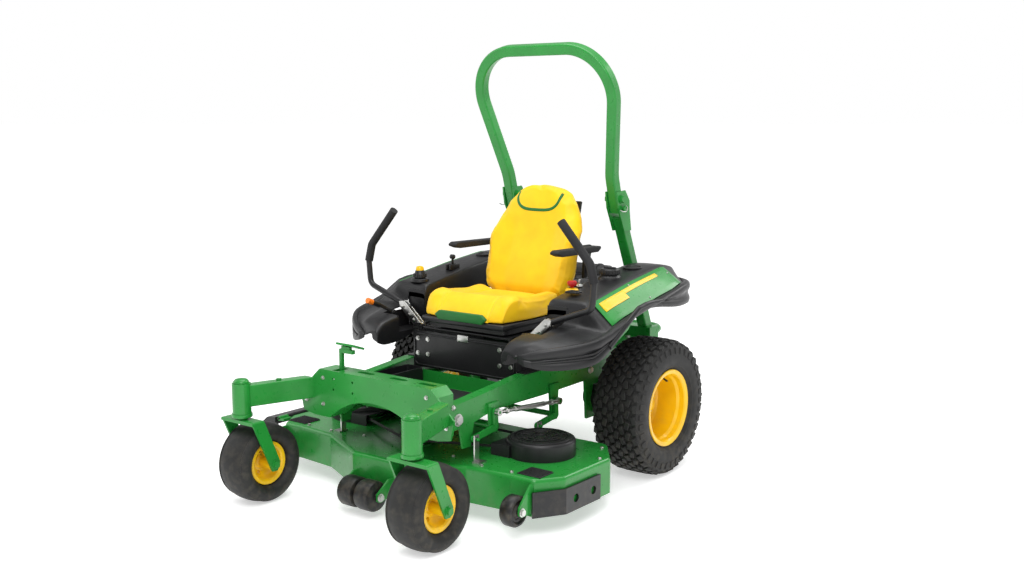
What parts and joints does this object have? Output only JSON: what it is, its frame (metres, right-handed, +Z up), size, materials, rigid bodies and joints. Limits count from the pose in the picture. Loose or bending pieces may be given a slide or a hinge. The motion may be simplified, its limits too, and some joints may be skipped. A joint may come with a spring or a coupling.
{
  "type": "zero turn mower",
  "caption": "Ride-on zero turn mower with a wide side-discharge deck, two drive levers, suspension seat, folding roll bar, front casters and large rear drive wheels",
  "frame": {"origin": "bottom centre of the whole machine, on the ground", "axes": "+Y to the rear of the machine, +X to the operator's left, +Z up"},
  "size_m": [1.6745, 2.133, 1.9021],
  "materials": {
    "green_paint": "gloss bright green paint",
    "yellow_paint": "gloss yellow paint",
    "black_paint": "satin black powder coat",
    "black_plastic": "moulded black plastic with a fine texture",
    "zinc": "zinc plated steel",
    "dark_steel": "oiled dark steel",
    "cast_alloy": "cast alloy",
    "yellow_vinyl": "yellow vinyl with fine grain",
    "black_foam": "black moulded foam",
    "tyre": "black tyre rubber",
    "roller_rubber": "black hard rubber",
    "exhaust_steel": "heat stained steel",
    "red_plastic": "gloss red plastic"
  },
  "bodies": {
    "chassis": {"front_crossmember": "green_paint", "caster_arm_left": "green_paint", "caster_arm_right": "green_paint", "side_rails": "green_paint", "floor_pan": "green_paint", "rear_frame": "green_paint", "seat_base": "black_paint", "pod_left": "black_plastic", "pod_right": "black_plastic", "tool_tray": "black_plastic", "engine_block": "cast_alloy", "blower_housing": "black_plastic", "muffler": "exhaust_steel", "wheel_motors": "dark_steel", "hydro_pumps": "cast_alloy", "rops_posts": "green_paint", "chassis_bolts": "zinc"},
    "caster_fork_left": {"caster_fork_left": "green_paint"},
    "caster_fork_right": {"caster_fork_right": "green_paint"},
    "caster_wheel_left": {"caster_rim_left": "yellow_paint", "caster_tyre_left": "tyre"},
    "caster_wheel_right": {"caster_rim_right": "yellow_paint", "caster_tyre_right": "tyre"},
    "rear_wheel_left": {"rear_rim_left": "yellow_paint", "rear_tyre_left": "tyre"},
    "rear_wheel_right": {"rear_rim_right": "yellow_paint", "rear_tyre_right": "tyre"},
    "rops_hoop": {"rops_hoop": "green_paint"},
    "lever_base_left": {"lever_base_left": "dark_steel"},
    "lever_base_right": {"lever_base_right": "dark_steel"},
    "lever_left": {"lever_left": "black_paint"},
    "lever_right": {"lever_right": "black_paint"},
    "seat_plate": {"seat_plate": "black_paint"},
    "seat": {"seat_pan": "black_plastic", "seat_cushion": "yellow_vinyl", "seat_back": "yellow_vinyl"},
    "armrest_left": {"armrest_left": "black_foam"},
    "armrest_right": {"armrest_right": "black_foam"},
    "deck": {"deck_shell": "green_paint", "belt_covers": "black_plastic", "side_bumper": "black_paint", "deck_belt": "roller_rubber", "deck_links": "zinc"},
    "front_rollers": {"front_rollers": "roller_rubber"},
    "gauge_wheel_left": {"gauge_wheel_left": "roller_rubber"},
    "gauge_wheel_right": {"gauge_wheel_right": "roller_rubber"},
    "blade_left": {"blade_spindle_left": "dark_steel"},
    "blade_right": {"blade_spindle_right": "dark_steel"},
    "blade_centre": {"blade_spindle_centre": "dark_steel"},
    "discharge_chute": {"discharge_chute": "black_plastic"},
    "front_lift_shaft": {"front_lift_shaft": "green_paint"},
    "rear_lift_shaft": {"rear_lift_shaft": "green_paint"},
    "lift_rods": {"lift_rods": "zinc"},
    "deck_pedal": {"deck_pedal": "green_paint"},
    "height_dial": {"height_dial": "black_plastic"},
    "brake_lever": {"brake_lever": "black_paint"},
    "throttle_lever": {"throttle_lever": "black_plastic"},
    "pto_switch": {"pto_switch": "red_plastic"},
    "fuel_cap": {"fuel_cap": "black_plastic"},
    "crank_pulley": {"crank_pulley": "dark_steel"}
  },
  "joints": [
    {"name": "caster_swivel_left", "type": "hinge", "parent": "chassis", "child": "caster_fork_left", "pos_m": [0.5275, -0.9845, 0.43], "axis": [0, 0, 1], "continuous": true},
    {"name": "caster_spin_left", "type": "hinge", "parent": "caster_fork_left", "child": "caster_wheel_left", "pos_m": [0.5275, -0.9015, 0.165], "axis": [1, 0, 0], "continuous": true},
    {"name": "rear_wheel_spin_left", "type": "hinge", "parent": "chassis", "child": "rear_wheel_left", "pos_m": [0.6645, 0.4225, 0.303], "axis": [1, 0, 0], "continuous": true},
    {"name": "lever_drive_left", "type": "hinge", "parent": "chassis", "child": "lever_base_left", "pos_m": [0.3745, -0.0725, 0.59], "axis": [1, 0, 0], "range_deg": [-15, 15], "stiffness_Nm_per_rad": 60},
    {"name": "lever_swing_left", "type": "hinge", "parent": "lever_base_left", "child": "lever_left", "pos_m": [0.3745, -0.0725, 0.632], "axis": [0, -1, 0], "range_deg": [0, 20]},
    {"name": "armrest_lift_left", "type": "hinge", "parent": "seat", "child": "armrest_left", "pos_m": [0.3525, 0.4445, 0.978], "axis": [-1, 0, 0], "range_deg": [0, 88]},
    {"name": "gauge_wheel_spin_left", "type": "hinge", "parent": "deck", "child": "gauge_wheel_left", "pos_m": [0.7145, -0.6335, 0.113], "axis": [1, 0, 0], "continuous": true},
    {"name": "caster_swivel_right", "type": "hinge", "parent": "chassis", "child": "caster_fork_right", "pos_m": [-0.4025, -0.9845, 0.43], "axis": [0, 0, 1], "continuous": true},
    {"name": "caster_spin_right", "type": "hinge", "parent": "caster_fork_right", "child": "caster_wheel_right", "pos_m": [-0.4025, -0.9015, 0.165], "axis": [1, 0, 0], "continuous": true},
    {"name": "rear_wheel_spin_right", "type": "hinge", "parent": "chassis", "child": "rear_wheel_right", "pos_m": [-0.5395, 0.4225, 0.303], "axis": [1, 0, 0], "continuous": true},
    {"name": "lever_drive_right", "type": "hinge", "parent": "chassis", "child": "lever_base_right", "pos_m": [-0.2495, -0.0725, 0.59], "axis": [1, 0, 0], "range_deg": [-15, 15], "stiffness_Nm_per_rad": 60},
    {"name": "lever_swing_right", "type": "hinge", "parent": "lever_base_right", "child": "lever_right", "pos_m": [-0.2495, -0.0725, 0.632], "axis": [0, 1, 0], "range_deg": [0, 20]},
    {"name": "armrest_lift_right", "type": "hinge", "parent": "seat", "child": "armrest_right", "pos_m": [-0.2275, 0.4445, 0.978], "axis": [-1, 0, 0], "range_deg": [0, 88]},
    {"name": "gauge_wheel_spin_right", "type": "hinge", "parent": "deck", "child": "gauge_wheel_right", "pos_m": [-0.5895, -0.6335, 0.113], "axis": [1, 0, 0], "continuous": true},
    {"name": "rops_fold", "type": "hinge", "parent": "chassis", "child": "rops_hoop", "pos_m": [0.0625, 0.5965, 1.195], "axis": [-1, 0, 0], "range_deg": [0, 118]},
    {"name": "seat_tilt", "type": "hinge", "parent": "chassis", "child": "seat_plate", "pos_m": [0.0625, -0.1295, 0.64], "axis": [1, 0, 0], "range_deg": [0, 55]},
    {"name": "seat_slide", "type": "slide", "parent": "seat_plate", "child": "seat", "axis": [0, -1, 0], "range_m": [-0.03, 0.05]},
    {"name": "deck_height", "type": "slide", "parent": "chassis", "child": "deck", "axis": [0, 0, 1], "range_m": [0, 0.045]},
    {"name": "front_shaft_turn", "type": "hinge", "parent": "chassis", "child": "front_lift_shaft", "pos_m": [0.0625, -0.3705, 0.331], "axis": [-1, 0, 0], "range_deg": [-1, 20]},
    {"name": "rear_shaft_turn", "type": "hinge", "parent": "chassis", "child": "rear_lift_shaft", "pos_m": [0.0625, 0.0505, 0.295], "axis": [-1, 0, 0], "range_deg": [-1, 20]},
    {"name": "lift_rod_turn", "type": "hinge", "parent": "front_lift_shaft", "child": "lift_rods", "pos_m": [0.0625, -0.3735, 0.395], "axis": [-1, 0, 0], "range_deg": [-20, 1]},
    {"name": "pedal_turn", "type": "hinge", "parent": "chassis", "child": "deck_pedal", "pos_m": [-0.1595, -0.6575, 0.492], "axis": [1, 0, 0], "range_deg": [-1, 24]},
    {"name": "blade_spin_centre", "type": "hinge", "parent": "deck", "child": "blade_centre", "pos_m": [0.0625, -0.4375, 0.2], "axis": [0, 0, 1], "continuous": true},
    {"name": "blade_spin_left", "type": "hinge", "parent": "deck", "child": "blade_left", "pos_m": [0.5425, -0.2425, 0.2], "axis": [0, 0, 1], "continuous": true},
    {"name": "blade_spin_right", "type": "hinge", "parent": "deck", "child": "blade_right", "pos_m": [-0.4175, -0.2425, 0.2], "axis": [0, 0, 1], "continuous": true},
    {"name": "front_roller_spin", "type": "hinge", "parent": "deck", "child": "front_rollers", "pos_m": [0.0625, -0.7775, 0.088], "axis": [1, 0, 0], "continuous": true},
    {"name": "chute_lift", "type": "hinge", "parent": "deck", "child": "discharge_chute", "pos_m": [-0.7095, -0.3425, 0.216], "axis": [0, 1, 0], "range_deg": [0, 80]},
    {"name": "height_dial_turn", "type": "hinge", "parent": "chassis", "child": "height_dial", "pos_m": [-0.3575, 0.0465, 0.84], "axis": [0, 0, 1], "range_deg": [0, 300]},
    {"name": "brake_pull", "type": "hinge", "parent": "chassis", "child": "brake_lever", "pos_m": [-0.3695, -0.1225, 0.684], "axis": [-1, 0, 0], "range_deg": [0, 40]},
    {"name": "throttle_move", "type": "hinge", "parent": "chassis", "child": "throttle_lever", "pos_m": [-0.3375, 0.2575, 0.862], "axis": [-1, 0, 0], "range_deg": [-24, 24]},
    {"name": "pto_pull", "type": "slide", "parent": "chassis", "child": "pto_switch", "axis": [0, 0, 1], "range_m": [0, 0.008]},
    {"name": "fuel_cap_turn", "type": "hinge", "parent": "chassis", "child": "fuel_cap", "pos_m": [0.4925, 0.3555, 0.89], "axis": [0, 0, 1], "continuous": true},
    {"name": "crank_spin", "type": "hinge", "parent": "chassis", "child": "crank_pulley", "pos_m": [0.0625, 0.6625, 0.45], "axis": [0, 0, 1], "continuous": true}
  ],
  "couplings": [
    {"joint": "front_shaft_turn", "follows": "deck_height", "rad_per_m": 7.14},
    {"joint": "rear_shaft_turn", "follows": "deck_height", "rad_per_m": 7.14},
    {"joint": "lift_rod_turn", "follows": "deck_height", "rad_per_m": -7.14},
    {"joint": "pedal_turn", "follows": "deck_height", "rad_per_m": 8.6},
    {"joint": "blade_spin_left", "follows": "blade_spin_centre", "ratio": 1},
    {"joint": "blade_spin_right", "follows": "blade_spin_centre", "ratio": 1}
  ]
}
